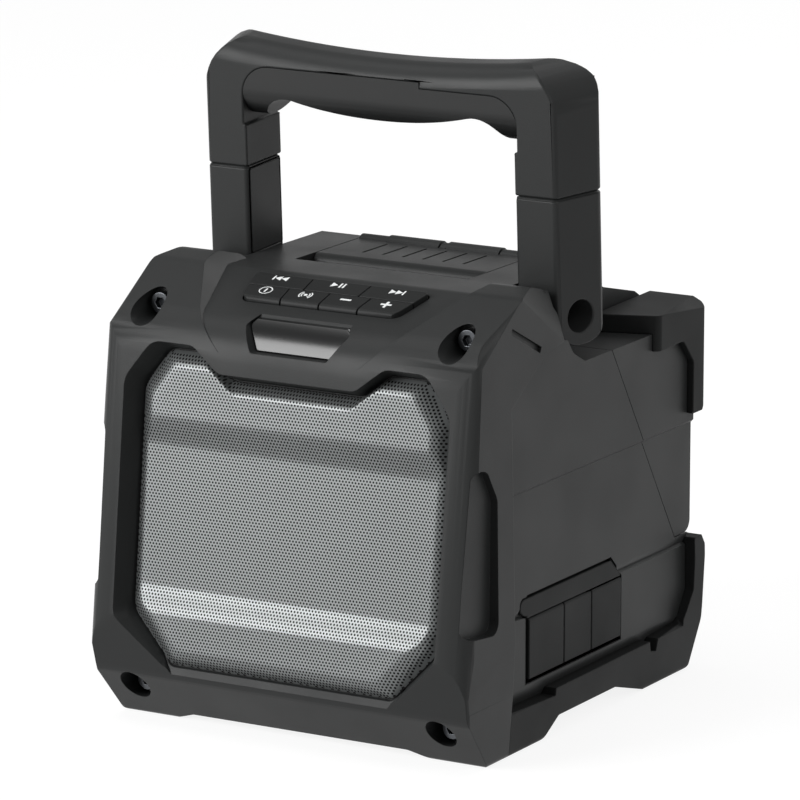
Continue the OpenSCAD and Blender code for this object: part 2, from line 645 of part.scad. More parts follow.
module battery_lid() color(charcoal) difference() {
    union() {
        difference() {
            union() {
                intersection() {
                    along_x(-half_w, half_w) lid_profile(0);
                    housing_widths(0);
                }
                along_x(-lid_mid_x, lid_mid_x) lid_mid_profile(0);
            }
            intersection() {
                along_x(-half_w, half_w) lid_profile(wall);
                housing_widths(wall);
            }
            along_x(-lid_mid_x + wall, lid_mid_x - wall) lid_mid_profile(wall);
            // Room for the tower
            translate([-tower_x - move_gap, front_y, ledge_z - 20])
                cube([2 * (tower_x + move_gap), tower_rear_y + lid_gap - front_y, deck_z]);
        }
        // Knuckles that carry the latch lever
        both_sides() {
            translate([0, latch_y, latch_z]) bar_x(knuckle_x[0], knuckle_x[1], hinge_r);
            along_x(knuckle_x[0], knuckle_x[1]) polygon([[latch_y, latch_z - hinge_r],
                [tower_rear_y + 7, deck_z - 12], [tower_rear_y + 7, deck_z - 8.5],
                [latch_y + 3.4, latch_z + 3.4]]);
        }
        // Hinge ears beside the knuckles of the housing
        both_sides() translate([0, hinge_y, hinge_z]) bar_x(knuckle_half + move_gap, pin_half - 1, hinge_r);
    }
    translate([0, latch_y, latch_z]) bar_x(-lever_x, lever_x, pin_r);
    translate([0, hinge_y, hinge_z]) bar_x(-pin_half, pin_half, pin_r + run_gap);
    // Room for the knuckles of the housing
    translate([0, hinge_y, hinge_z]) bar_x(-knuckle_half - move_gap, knuckle_half + move_gap,
        hinge_r + move_gap);
    translate([-knuckle_half - move_gap, hinge_y - hinge_r - move_gap, 0])
        cube([2 * (knuckle_half + move_gap), hinge_r + move_gap, hinge_z]);
}

// Rubber bumper over an upper rear corner of the lid
bumper_y = rear_y - 50;
module lid_bumper() color(rubber_black) difference() {
    intersection() {
        along_x(tower_x + 1, half_w) shape([[bumper_y, upper_line_z + 5, 0],
            [rear_y - 4, upper_line_z + 5, 0], [rear_y, upper_line_z + 9, 2], [rear_y, ledge_z + 6, 0],
            [rear_y - 2.5, ledge_z + 8.5, 1.5], [bumper_y, ledge_z + 7.5, 1.5]]);
        translate([0, 0, 90]) linear_extrude(big) shape([[tower_x + 1, bumper_y, 2],
            [half_w, bumper_y + 8, 3], [half_w, rear_y, 4], [tower_x + 1, rear_y, 1]]);
    }
    cube([side_x, lid_rear_y, ledge_z]);
    // Facet along the outer top edge
    beyond([half_w - 6.2, rear_y, ledge_z + 8.6], [155, 20, 199]);
    // The side plate is cut back to a strip along the top and a bar down the corner
    along_x(side_x - 1, half_w) shape([[0, 90, 0], [rear_y - 12, 90, 0], [rear_y - 12, 131, 3],
        [rear_y - 21, ledge_z - 6.5, 3], [rear_y - 38, ledge_z - 7, 0], [0, ledge_z - 7, 0]]);
}
module lid_bumper_right() lid_bumper();
module lid_bumper_left() mirror([1, 0, 0]) lid_bumper();

// Latch lever: a ridged flap whose front lip is lifted, hinged on the lid
groove_x = [for (i = [-2.5:2.5]) i * 9.3];
lever_under_z = deck_z - 7;
module latch_lever() color(charcoal) difference() {
    union() {
        along_x(-lever_x, lever_x) shape([[lever_y, lever_under_z, 2], [latch_y, lever_under_z, 0],
            [latch_y, deck_z, 0], [lever_y, deck_z, 4]]);
        translate([0, latch_y, latch_z]) bar_x(-lever_x, lever_x, hinge_r - 0.6);
        // Catch under the lip
        translate([-9, lever_y + 8, pocket_z + 3]) cube([18, 3, lever_under_z - pocket_z - 2]);
    }
    // Room for the knuckles of the lid
    translate([0, latch_y, latch_z]) both_sides() bar_x(knuckle_x[0] - move_gap, knuckle_x[1] + move_gap,
        hinge_r + move_gap);
    both_sides() translate([knuckle_x[0] - move_gap, latch_y, 0])
        cube([knuckle_x[1] - knuckle_x[0] + 2 * move_gap, 20, big]);
    translate([0, latch_y, latch_z]) bar_x(-lever_x - 1, lever_x + 1, pin_r + run_gap);
    for (x = groove_x) translate([x - 0.6, lever_y + 12, deck_z - 0.7]) cube([1.2, 20, 2]);
}
module latch_pin() color(steel) translate([0, latch_y, latch_z]) bar_x(-lever_x + 0.5, lever_x - 0.5, pin_r);

// Handle arms, with a round foot on the pivot and a flared outer face
bolt_reach = 12;
head_x = [arm_in + 10, arm_in + 13.5];
module arm_section(m) shape([[arm_in + m, -arm_r + m, 2], [arm_out - m, -arm_r + m, 2.5],
    [arm_out + arm_flare - m, arm_rear - m, 4], [arm_in + m, arm_rear - m, 2]]);
cap_t = 2;
module arm_cap_shape(m) along_x(arm_in - (m > 0 ? 1 : 0), arm_in + cap_t)
    shape([[-arm_r + 2 - m, arm_r + 1 - m, 1], [arm_rear - 2 + m, arm_r + 1 - m, 1],
        [arm_rear - 2 + m, arm_h - 1.6 + m, 1], [-arm_r + 2 - m, arm_h - 1.6 + m, 1]]);
// Shadow seam under the bow, [inset, height]
arm_seam = [0.7, 0.9];
module handle_arm() color(charcoal) on_handle() difference() {
    intersection() {
        union() {
            translate([0, 0, -arm_r - 1]) linear_extrude(arm_h + arm_r + 1 - arm_seam[1]) arm_section(0);
            linear_extrude(arm_h) arm_section(arm_seam[0]);
        }
        along_x(0, half_w + 5) shape([[-arm_r, -arm_r, 11], [arm_rear, -arm_r, 12.5], [arm_rear, arm_h, 0],
            [-arm_r, arm_h, 0]]);
    }
    bar_x(0, half_w + 5, bolt_r + run_gap);
    bar_x(head_x[0] - 0.3, half_w + 5, bolt_recess_r);
    arm_cap_shape(seat_gap);
}
module handle_arm_right() handle_arm();
module handle_arm_left() mirror([1, 0, 0]) handle_arm();
module arm_cap_right() color(charcoal) on_handle() arm_cap_shape(0);
module arm_cap_left() mirror([1, 0, 0]) arm_cap_right();
// Bolts that the arms turn on, pressed into the tower
module pivot_bolts() color(steel) translate([0, pivot_y, pivot_z]) both_sides() difference() {
    union() {
        bar_x(tower_x - bolt_reach, head_x[0], bolt_r);
        bar_x(tower_x, arm_in - 0.3, bolt_r + 4);
        bar_x(head_x[0], head_x[1], bolt_recess_r - 0.4);
    }
    translate([head_x[1] - 2, 0, 0]) rotate([0, 90, 0]) cylinder(h = 3, r = 2.9, $fn = 6);
}

// Bow of the handle: its ends flare like the arms and its top sags on a large radius
bow_r = 20;
bow_half = arm_out + arm_flare - bow_r;
bow_turn_r = (pow(bow_half, 2) + pow(bow_sag, 2)) / bow_sag / 2;
// Everything inside the outer face of the right end, with its round upper corner
module bow_end() translate([arm_out + 0.05, -arm_r, 0]) rotate([0, 0, -atan(arm_flare / arm_d)])
    along_y(-big / 4, big / 4) shape([[0, arm_h, 0], [0, handle_h, bow_r], [-big / 2, handle_h, 0],
        [-big / 2, arm_h, 0]]);
module bow_plan() shape([[-arm_out, -arm_r, 2.5], [arm_out, -arm_r, 2.5], [arm_out + arm_flare, arm_rear, 4],
    [-arm_out - arm_flare, arm_rear, 4]]);
module handle_bow() color(charcoal) on_handle() difference() {
    intersection() {
        bow_end();
        mirror([1, 0, 0]) bow_end();
        translate([0, 0, handle_h - bow_sag + bow_turn_r]) rotate([90, 0, 0]) rotate_extrude($fn = 360)
            shape([[bow_turn_r, -arm_rear, 10], [bow_turn_r + 90, -arm_rear, 0], [bow_turn_r + 90, arm_r, 0],
                [bow_turn_r, arm_r, 10]]);
        linear_extrude(big) bow_plan();
    }
    along_y(-arm_r - 1, arm_rear + 1) {
        translate([-arm_in, 0]) square([2 * arm_in, grip_top - 12]);
        grip_outline();
    }
}
// Soft grip under the bow, with a step in its upper line
grip_x = arm_in + 1.2;
grip_low = grip_top - 24.3;
grip_step = [19, 2.6];
// Corners of its underside, [distance from the arm, rise over the middle], and the arch between them
grip_corner = [13.5, 12];
grip_run = arm_in - grip_corner.x;
grip_arch_r = min(160, (norm([grip_run, grip_corner.y]) - 9) * grip_run / grip_corner.y);
module grip_outline() shape([[-grip_x, grip_low, 1], [-grip_x + 4.5, grip_low, 2],
    [-grip_run, grip_low + 1.5 + grip_corner.y, 12], [0, grip_low + 1.5, grip_arch_r],
    [grip_run, grip_low + 1.5 + grip_corner.y, 12], [grip_x - 4.5, grip_low, 2], [grip_x, grip_low, 1],
    [grip_x, grip_top - grip_step[1], 12], [grip_step[0], grip_top - grip_step[1], 0],
    [grip_step[0], grip_top, 0], [-grip_x, grip_top, 12]]);
module handle_grip() color(rubber_black) on_handle() intersection() {
    along_y(-arm_r + 0.2, arm_rear - 0.2) grip_outline();
    along_x(-half_w, half_w) shape([[-arm_r + 0.2, grip_low + 3, 12], [arm_rear - 0.2, grip_low + 3, 12],
        [arm_rear - 0.2, handle_h, 0], [-arm_r + 0.2, handle_h, 0]]);
}

// Baffle with its driver holes
baffle_t = 4;
module baffle() color(charcoal) on_face() translate([0, 0, -baffle_depth - baffle_t]) linear_extrude(baffle_t)
    difference() {
        shape(opening(opening_inset + 1));
        translate(woofer_at) circle(woofer_r - 6);
        translate(tweeter_at) circle(tweeter_r - 3);
    }
// Frame of a driver: its flange stands on the baffle, Z out of the face
module at_driver(at) on_face() translate([at.x, at.y, -baffle_depth]) children();

// Woofer
surround_r = woofer_r - 3;
seat_z = 1.6;
roll_r = 3.4;
roll_t = 0.9;
roll_c = cone_r + move_gap + roll_r;
neck_z = -14;
gap_z = -basket_depth + 6;
module woofer_basket() color("#4a4c4e") at_driver(woofer_at) difference() {
    rotate_extrude() polygon([[coil_r + 5, gap_z], [coil_r + 15.5, gap_z], [woofer_r - 6.5, -frame_t],
        [woofer_r - 6.5, 0], [woofer_r, 0], [woofer_r, frame_t - 1], [woofer_r - 1, frame_t],
        [surround_r, frame_t], [surround_r, seat_z], [woofer_r - 9, seat_z], [woofer_r - 9, -frame_t],
        [coil_r + 13, gap_z + 6], [coil_r + 13, gap_z + 2.5], [coil_r + 5, gap_z + 2.5]]);
    // Windows between the spokes, and screw holes in the flange
    for (a = [0:60:300]) rotate(a) translate([0, -9, gap_z + 8]) cube([woofer_r, 18, -gap_z - frame_t - 10]);
    for (a = [45:90:315]) rotate(a) translate([woofer_r - 1.5, 0, -1]) cylinder(h = frame_t + 2, r = 0.8);
}
module woofer_magnet() color("#2f3133") at_driver(woofer_at) rotate_extrude()
    polygon([[coil_r + 0.9, gap_z], [coil_r + 12, gap_z], [coil_r + 12, gap_z - 5], [coil_r + 18, gap_z - 5],
        [coil_r + 18, gap_z - 17], [coil_r + 12, gap_z - 17], [coil_r + 12, gap_z - 22], [0, gap_z - 22],
        [0, gap_z + 1], [coil_r - 1.2, gap_z + 1], [coil_r - 1.2, gap_z - 17], [coil_r + 0.9, gap_z - 17]]);
module woofer_surround() color(rubber_black) at_driver(woofer_at) rotate_extrude() translate([0, seat_z])
    difference() {
    union() {
        translate([roll_c, 0]) circle(roll_r);
        translate([roll_c, 0]) square([surround_r - 0.1 - roll_c, roll_t]);
    }
    translate([roll_c, 0]) circle(roll_r - roll_t);
    translate([0, -20]) square([big, 20]);
}
module woofer_spider() color("#b08a4a") at_driver(woofer_at) rotate_extrude()
    polygon([[coil_r + 0.9, gap_z + 6.2], [coil_r + 13 - run_gap, gap_z + 5.4],
        [coil_r + 13 - run_gap, gap_z + 6.2], [coil_r + 0.9, gap_z + 7]]);
module woofer_cone() color("#26282a") at_driver(woofer_at) rotate_extrude()
    polygon([[coil_r + 0.5 + run_gap, neck_z - 0.4], [cone_r, seat_z - 0.2], [cone_r, seat_z + 1],
        [cone_r - 1, seat_z + 1], [coil_r + 0.5 + run_gap, neck_z + 1]]);
// Domed cap on the end of the coil
cap_rise = 5;
cap_ball_r = (pow(coil_r, 2) + pow(cap_rise, 2)) / cap_rise / 2;
module dust_cap() color("#26282a") at_driver(woofer_at) rotate_extrude() translate([0, neck_z + 1])
    intersection() {
    translate([0, cap_rise - cap_ball_r]) difference() {
        circle(cap_ball_r);
        circle(cap_ball_r - 0.8);
    }
    square([coil_r + 3, cap_rise + 1]);
}
module voice_coil() color("#b8733a") at_driver(woofer_at) translate([0, 0, gap_z - 8]) difference() {
    cylinder(h = neck_z - gap_z + 9, r = coil_r + 0.5);
    translate([0, 0, -1]) cylinder(h = neck_z - gap_z + 12, r = coil_r - 0.4);
}

// Tweeter
module tweeter_body() color("#4a4c4e") at_driver(tweeter_at) rotate_extrude()
    polygon([[0, -10], [tweeter_r - 3.5, -10], [tweeter_r - 3.5, 0], [tweeter_r, 0], [tweeter_r, frame_t - 1],
        [tweeter_r - 1, frame_t], [tweeter_r - 2.5, frame_t], [tweeter_r - 5.5, 1.6], [tweeter_r - 6.4, 1.6],
        [tweeter_r - 6.4, 0], [0, 0]]);
module tweeter_dome() color("#9a9da0") at_driver(tweeter_at) intersection() {
    translate([0, 0, -6]) difference() {
        sphere(tweeter_r - 5);
        sphere(tweeter_r - 5.7);
    }
    cylinder(h = tweeter_r, r = tweeter_r);
}

// Main board on four posts of the floor
board_at = [-62, -18];
board_size = [104, 56];
board_z = floor_z + 5;
module board_posts() for (x = [5, board_size.x - 5]) for (y = [5, board_size.y - 5])
    translate([board_at.x + x, board_at.y + y, belly_z + 1]) cylinder(h = board_z - belly_z - 1, r = 3.5);
module main_board() color(board_green) translate([board_at.x, board_at.y, board_z]) {
    cube([board_size.x, board_size.y, board_t]);
    for (i = [0:2]) translate([18 + 17 * i, 16, board_t]) cylinder(h = 20, r = 6);
    translate([64, 10, board_t]) cube([30, 14, 16]);
    translate([14, 32, board_t]) cube([26, 14, 3]);
    translate([52, 34, board_t]) cube([14, 14, 2]);
}

// Ports behind the flaps on the right side
slit = 0.7;
flap_gap = 2.2;
flap_w = [for (share = [0.376, 0.295, 0.329]) share * (port_len - flap_gap - move_gap - 2 * slit)];
function flap_y(i) = i == 0 ? port_y0 + flap_gap : flap_y(i - 1) + flap_w[i - 1] + slit;
function flap_mid(i) = flap_y(i) + flap_w[i] / 2;
panel_t = 2.5;
// Outline of the row of ports, widened by a margin
module port_outline(m) polygon([[port_y0 - m, port_z - m], [port_y1 + m, port_z - m],
    [port_y1 + m, flap_top_z + m / 2], [port_y1 - 10 + m / 2, strip_top_z + m],
    [port_y0 - m, strip_top_z + m]]);
// Rounded front end of the strip, sunk in the wall
module strip_tab(m) along_x(low_x - 1.5, m > 0 ? half_w : flap_x)
    shape([[port_y0 + 1, flap_top_z + 1.5 - m, 0], [port_y0 + 1, strip_top_z - 1 + m, 0],
    [port_y0 - 5.3 - m, strip_top_z - 1 + m, 3], [port_y0 - 5.3 - m, flap_top_z + 4 - m, 1.5],
    [port_y0 - 1.5, flap_top_z + 1.5 - m, 0]]);
module port_opening(i, w, h) translate([port_floor_x - panel_t - 1, flap_mid(i) - w / 2, socket_z - h / 2])
    cube([panel_t + 2, w, h]);
module port_panel() color(charcoal) difference() {
    union() {
        along_x(port_floor_x - panel_t, low_x) port_outline(0.4);
        translate([inner_x - panel_t, port_y0 - 4, port_z - 1.5])
            cube([panel_t, port_len + 8, strip_top_z - port_z + 5.5]);
    }
    along_x(port_floor_x, half_w) port_outline(0);
    strip_tab(0.9);
    port_opening(0, 13.4, 6);
    port_opening(1, 7.4, 7.4);
    port_opening(2, 11.4, 11.4);
}
module port_strip() color(rubber_black) {
    along_x(port_floor_x, flap_x) intersection() {
        port_outline(-0.1);
        translate([port_y0, flap_top_z + move_gap]) square([port_len, strip_h - move_gap - 1]);
    }
    strip_tab(0);
}
// A flap hangs on a round bead along its upper edge
bead_r = flap_t / 2;
module port_flap(i) color(rubber_black) translate([flap_x - bead_r, flap_y(i), flap_top_z - bead_r]) {
    bar_y(0, flap_w[i], bead_r);
    translate([-bead_r, 0, bead_r + 1.2 - flap_h]) cube([flap_t, flap_w[i], flap_h - bead_r - 1.2]);
}
module port_flap_usb() port_flap(0);
module port_flap_audio() port_flap(1);
module port_flap_power() port_flap(2);
// Frame at a port: Z points into the body from just outside the panel's face
module at_port(i) translate([port_floor_x + 0.5, flap_mid(i), socket_z]) rotate([0, -90, 0]) children();
module usb_socket() color(steel) at_port(0) difference() {
    union() {
        translate([-2.8, -6.5, 0]) cube([5.6, 13, 15]);
        translate([-4.5, -8, panel_t + 0.5]) cube([9, 16, 1]);
    }
    translate([-2.3, -6, -1]) cube([4.6, 12, 14]);
}
module audio_jack() color("#26282a") at_port(1) difference() {
    union() {
        cylinder(h = 16, r = 3.6);
        translate([-4, -4, panel_t + 0.5]) cube([8, 8, 12]);
    }
    translate([0, 0, -1]) cylinder(h = 15, r = 1.8);
}
module power_jack() color("#26282a") at_port(2) difference() {
    union() {
        cylinder(h = 14, r = 5.6);
        translate([-6, -6, panel_t + 0.5]) cube([12, 12, 11]);
    }
    difference() {
        translate([0, 0, -1]) cylinder(h = 12, r = 2.9);
        translate([0, 0, 1]) cylinder(h = 12, r = 1);
    }
}

// Screws that hold the front cover on the housing
module cover_screw(s) translate([s.x, 0, s.y]) difference() {
    union() {
        bar_y(front_y + s.z - head_h, front_y + s.z, head_r);
        bar_y(front_y + s.z - 1, flange_y + 12, shank_r);
    }
    translate([0, front_y + s.z - head_h - 1, 0]) rotate([-90, 0, 0]) cylinder(h = 3.5, r = 2.3, $fn = 6);
}
module front_screws() color(steel) both_sides() {
    cover_screw(screw_high);
    cover_screw(screw_low);
}

front_cover();
main_housing();
side_skid_left();
side_skid_right();
battery_tray();
grille();
grille_gasket();
baffle();
woofer_basket();
woofer_magnet();
woofer_surround();
woofer_spider();
woofer_cone();
dust_cap();
voice_coil();
tweeter_body();
tweeter_dome();
display_window();
keypad_board();
key_power();
key_pairing();
key_volume_down();
key_volume_up();
key_previous();
key_play_pause();
key_next();
handle_bow();
handle_grip();
handle_arm_left();
handle_arm_right();
arm_cap_left();
arm_cap_right();
pivot_bolts();
battery_lid();
lid_bumper_left();
lid_bumper_right();
lid_hinge_pin();
latch_lever();
latch_pin();
main_board();
port_panel();
port_strip();
port_flap_usb();
port_flap_audio();
port_flap_power();
usb_socket();
audio_jack();
power_jack();
battery_rail_wide();
battery_rail_narrow();
front_screws();
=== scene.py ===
"""Looks of the rugged bluetooth speaker.

Finishes for its CAD nodes, the perforated grille with its dust cloth, drawn near-black as
painted shade in the holes, the prints on the keys, and the studio.
"""
import math

import bpy
import numpy as np
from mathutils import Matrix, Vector


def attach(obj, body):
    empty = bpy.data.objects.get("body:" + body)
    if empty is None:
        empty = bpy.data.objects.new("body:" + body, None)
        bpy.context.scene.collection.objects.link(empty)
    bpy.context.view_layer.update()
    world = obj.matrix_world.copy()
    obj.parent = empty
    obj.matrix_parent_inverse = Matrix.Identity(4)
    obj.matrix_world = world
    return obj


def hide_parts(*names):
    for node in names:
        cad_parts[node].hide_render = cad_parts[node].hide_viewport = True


MM = 0.001

# Planes of the body, in millimetres, as in the part's source
FRONT_Y = -100.0
FRONT_LEAN = math.radians(6.8)
LIP_LOW_Z = 46.0
FACE_Z = 93.0
PANEL_SLOPE = math.radians(16.5)
PANEL_Y = -63.5
PANEL_Z = 170.9

# The grille's opening, in millimetres on the leaning face. Its right half from bottom to top, a
# corner to a row: how far in from OPENING_X, height, corner radius, and how far a margin of 1 mm
# moves the corner sideways and up
OPENING_X = 74.3
OPENING_CORNERS = np.array([
    [21.3, -69.5, 6.0, -0.5, 1.0],
    [0.5, -47.3, 10.0, -1.0, 0.5],
    [0.0, 47.3, 10.0, -1.0, -0.5],
    [13.3, 64.5, 7.0, -0.5, -1.0],
    [34.7, 64.5, 6.0, 0.5, -1.0],
    [46.8, 54.9, 6.0, 0.5, -1.0],
])
GRILLE_MARGIN = 4.4

# The formed sheet: depths behind the face, the heights between which its channel sinks and rises,
# the rise and taper of the pan's border, and how far that border blends into the pan's face
RIM_DEPTH = 9.7
FACE_DEPTH = 4.4
CHANNEL_DEPTH = 3.4
CHANNEL_V = (-45.5, -33.5, 21.5, 34.5)
PAN_RISE = 6.0
PAN_TAPER = 0.915
PAN_BLEND = 2.4

# The holes: cells are tried CELL_SPAN rows and columns each way from the middle row, which lies at
# MIDDLE_ROW_V, and those further out than PIERCED of the outline's distance stay closed
HOLE_PITCH = 1.44
HOLE_R = 0.46
HOLE_SIDES = 8
CELL_CORNERS = 6
CELL_SPAN = 60
MIDDLE_ROW_V = -4.0
PIERCED = 0.985

# The dust cloth, near-black so that it paints the shade in the holes: its distance behind the
# sheet, and where it starts and ends as shares of the outline's distance
CLOTH_GAP = 1.4
CLOTH_REACH = (0.02, 0.98)

# The keys: two rows on the deck, FRONT_ROW and REAR_ROW as shares of the field's length, and their
# prints
KEYS_LEN = 21.0
KEYS_FRONT_X = 35.0
KEYS_REAR_X = 40.0
FRONT_ROW = 0.32
REAR_ROW = 0.82
KEY_TOP = 2.0
PRINT_T = 0.05
PRINT_SUNK = 0.02
SIGN_HALF = 1.7
ARROW_LONG = 1.7 * SIGN_HALF

# The display window: the height of its middle, half its height and how far its face seems to bulge
WINDOW_Z = 161.8
WINDOW_HALF = 5.6
WINDOW_BULGE = 0.8

# Surfaces of mouldings, in millimetres. A spark-eroded grain is about 0.1 mm wide, and GRAIN_SIZE
# draws it coarser so that it shows. MOTTLE_SIZE is the width of the clouds that the flow of the
# plastic leaves in the sheen
GRAIN_SIZE = 0.4
GRAIN_DEPTH = 0.2
GRAIN_DETAIL = 2.0
MOTTLE_SIZE = 35.714
MOTTLE_DETAIL = 5.0
MOTTLE_SPAN = (0.3, 0.7)
EDGE_SAMPLES = 6

# Dressing of the CAD nodes: points closer than WELD_GAP (mm) are joined, faces within FLAT_ANGLE are
# one plane, edges sharper than BEVEL_ANGLE are rounded in BEVEL_STEPS, and edges under SMOOTH_ANGLE
# are shaded smooth
WELD_GAP = 0.002
FLAT_ANGLE = math.radians(0.3)
BEVEL_ANGLE = math.radians(50)
BEVEL_STEPS = 3
SMOOTH_ANGLE = math.radians(35)

# The camera of the photograph: where it stands (metres), how it is turned, its lens and sensor (mm)
# and how far it sees (metres)
CAMERA_AT = (1.14358, -1.95700, 0.64126)
CAMERA_TURN = math.radians(30.3)
CAMERA_DROP = math.radians(12.9)
CAMERA_LENS = 260.5
CAMERA_SENSOR = 36
CAMERA_FAR = 50

# The studio, in metres and watts: each soft light's place, what it is aimed at, its width and
# height, and its power
SOFTBOXES = {
    "key_softbox": ((-1.05, -1.65, 0.85), (0, -0.05, 0.12), (1.1, 1.3), 43),
    "top_softbox": ((-0.5, -0.2, 2.0), (0, 0, 0.12), (1.2, 1.2), 9),
    "rear_softbox": ((0.3, 2.0, 1.5), (0, 0, 0.15), (1.6, 0.9), 9),
    "right_softbox": ((1.8, -0.2, 1.2), (0, 0, 0.15), (0.9, 0.9), 10),
}
ROOM_LIGHT = 0.35

# The paper sweep, in metres: where the floor starts, where it bends up, the bend's radius and half
# the paper's width
SWEEP_NEAR = -3.0
SWEEP_BEND = 2.0
SWEEP_R = 1.0
SWEEP_HALF = 4.0
PAPER_GLOW = 0.86


# Shading helpers

def srgb(code):
    """A hex colour such as 2f3030 as linear RGBA."""
    values = [int(code[i:i + 2], 16) / 255 for i in (0, 2, 4)]
    return [v / 12.92 if v <= 0.04045 else ((v + 0.055) / 1.055) ** 2.4 for v in values] + [1.0]


def fill(tree, node, inputs):
    """Sets a node's inputs, or links those that are given a socket."""
    for place, value in inputs.items():
        if isinstance(value, bpy.types.NodeSocket):
            tree.links.new(value, node.inputs[place])
        else:
            node.inputs[place].default_value = value


def add(tree, kind, inputs=None, **settings):
    """Adds a node with its settings, and fills its inputs."""
    node = tree.nodes.new(kind)
    for name, value in settings.items():
        setattr(node, name, value)
    fill(tree, node, inputs or {})
    return node


def material(name, colour, roughness, metallic=0.0, gloss=0.5, grain=0.0, grain_size=GRAIN_SIZE,
             mottle=0.0, edge=0.0):
    """A principled surface, with a moulded grain, a mottle in its sheen and softened edges (in mm)."""
    made = bpy.data.materials.new(name)
    made.use_nodes = True
    tree = made.node_tree
    surface = tree.nodes["Principled BSDF"]
    fill(tree, surface, {"Base Color": srgb(colour), "Roughness": roughness, "Metallic": metallic,
                         "Specular IOR Level": gloss})
    place = add(tree, "ShaderNodeTexCoord")
    if grain:
        noise = add(tree, "ShaderNodeTexNoise", {
            "Vector": place.outputs["Object"], "Scale": 1 / (grain_size * MM), "Detail": GRAIN_DETAIL})
        bump = add(tree, "ShaderNodeBump", {
            "Height": noise.outputs["Fac"], "Strength": grain, "Distance": GRAIN_DEPTH * MM})
        fill(tree, surface, {"Normal": bump.outputs["Normal"]})
        if edge:
            soft = add(tree, "ShaderNodeBevel", {"Radius": edge * MM}, samples=EDGE_SAMPLES)
            fill(tree, bump, {"Normal": soft.outputs["Normal"]})
    if mottle:
        cloud = add(tree, "ShaderNodeTexNoise", {
            "Vector": place.outputs["Object"], "Scale": 1 / (MOTTLE_SIZE * MM), "Detail": MOTTLE_DETAIL})
        sheen = add(tree, "ShaderNodeMapRange", {
            "Value": cloud.outputs["Fac"], "From Min": MOTTLE_SPAN[0], "From Max": MOTTLE_SPAN[1],
            "To Min": roughness - mottle, "To Max": roughness + mottle})
        fill(tree, surface, {"Roughness": sheen.outputs["Result"]})
    return made


def window_material():
    """Smoked acrylic whose height, -((z - WINDOW_Z) / WINDOW_HALF)^2, bends its reflections."""
    made = material("polished_smoked_acrylic", "0f1010", 0.2)
    tree = made.node_tree
    place = add(tree, "ShaderNodeTexCoord")
    height = add(tree, "ShaderNodeSeparateXYZ", {"Vector": place.outputs["Object"]})
    away = add(tree, "ShaderNodeMath", {0: height.outputs["Z"], 1: WINDOW_Z * MM}, operation="SUBTRACT")
    share = add(tree, "ShaderNodeMath", {0: away.outputs[0], 1: WINDOW_HALF * MM}, operation="DIVIDE")
    bulge = add(tree, "ShaderNodeMath", {0: share.outputs[0], 1: 2.0}, operation="POWER")
    bump = add(tree, "ShaderNodeBump", {
        "Height": bulge.outputs[0], "Strength": 1.0, "Distance": WINDOW_BULGE * MM}, invert=True)
    fill(tree, tree.nodes["Principled BSDF"], {"Normal": bump.outputs["Normal"]})
    return made


# Charcoal ABS, moulded in a spark-eroded tool: a dull fine grain, clouds in its sheen, and edges
# that catch a little light
CHARCOAL = material("moulded_charcoal_abs", "2a2b2b", 0.42, gloss=0.2, grain=0.25, mottle=0.05,
                    edge=0.35)
# The same ABS on the two large shells, with plain edges
SHELL = material("moulded_shell_abs", "2a2b2b", 0.42, gloss=0.2, grain=0.25, mottle=0.05)
# Darker ABS of the keys, moulded with a shallower grain: even and matt
KEY_ABS = material("moulded_key_abs", "1f2020", 0.5, gloss=0.2, grain=0.15)
# Thermoplastic rubber, moulded: nearly black, dull and a little coarser, with wide soft edges
RUBBER = material("moulded_rubber", "1c1d1d", 0.55, gloss=0.15, grain=0.3, grain_size=0.5,
                  mottle=0.05, edge=0.8)
# Soft rubber moulded over the handle: the blackest surface, with a faint sheen from handling
GRIP_RUBBER = material("overmoulded_grip_rubber", "151616", 0.5, gloss=0.35, grain=0.2)
# Punched sheet steel under a grey metallic coat: a broad soft shine between the dark holes
GRILLE_STEEL = material("coated_punched_steel", "7c7f7f", 0.4, metallic=0.6)
# Nickel-plated steel: pale and bright
PLATED_STEEL = material("nickel_plated_steel", "b5b7b9", 0.3, metallic=1.0)
# Zinc-plated steel of the screws: a darker grey shine
ZINC = material("zinc_plated_steel", "55575a", 0.3, metallic=1.0)
# Black-oxide steel: almost black, with a metal's highlight
BLACK_STEEL = material("black_oxide_steel", "1a1a1b", 0.35, metallic=0.9)
# Sintered ferrite, ground: dark grey and dull
FERRITE = material("ground_ferrite", "2f3133", 0.5, metallic=0.4)
# Smoked acrylic, polished: black with a clear bent reflection
SMOKED = window_material()
# Glass-fibre board under green solder mask: a half-gloss green
BOARD = material("solder_masked_board", "23513a", 0.45)
# Nylon of the sockets, moulded: black and dry
NYLON = material("moulded_nylon", "1b1c1d", 0.7, grain=0.3)
# Pressed paper pulp of the cone, coated: black and fibrous
PAPER = material("coated_paper", "1b1c1d", 0.7, grain=0.3)
# Die-cut foam: black without shine
FOAM = material("die_cut_foam", "070707", 0.95)
# Woven acoustic cloth, black without shine; its near-black is painted shade that makes the holes look
# deep
CLOTH_AS_HOLE_SHADE = material("acoustic_cloth_and_hole_shade", "070707", 0.95)
# Cotton cloth dipped in resin: dull amber
SPIDER = material("resin_dipped_cloth", "a47c3c", 0.8)
# Enamelled copper wire: a warm shine
COPPER = material("enamelled_copper", "b06a34", 0.35, metallic=1.0)
# Anodised aluminium: an even pale shine
ALUMINIUM = material("anodised_aluminium", "9a9da0", 0.35, metallic=1.0)
# White ink, pad-printed: flat and matt
INK = material("white_pad_print", "e4e6e6", 0.6)

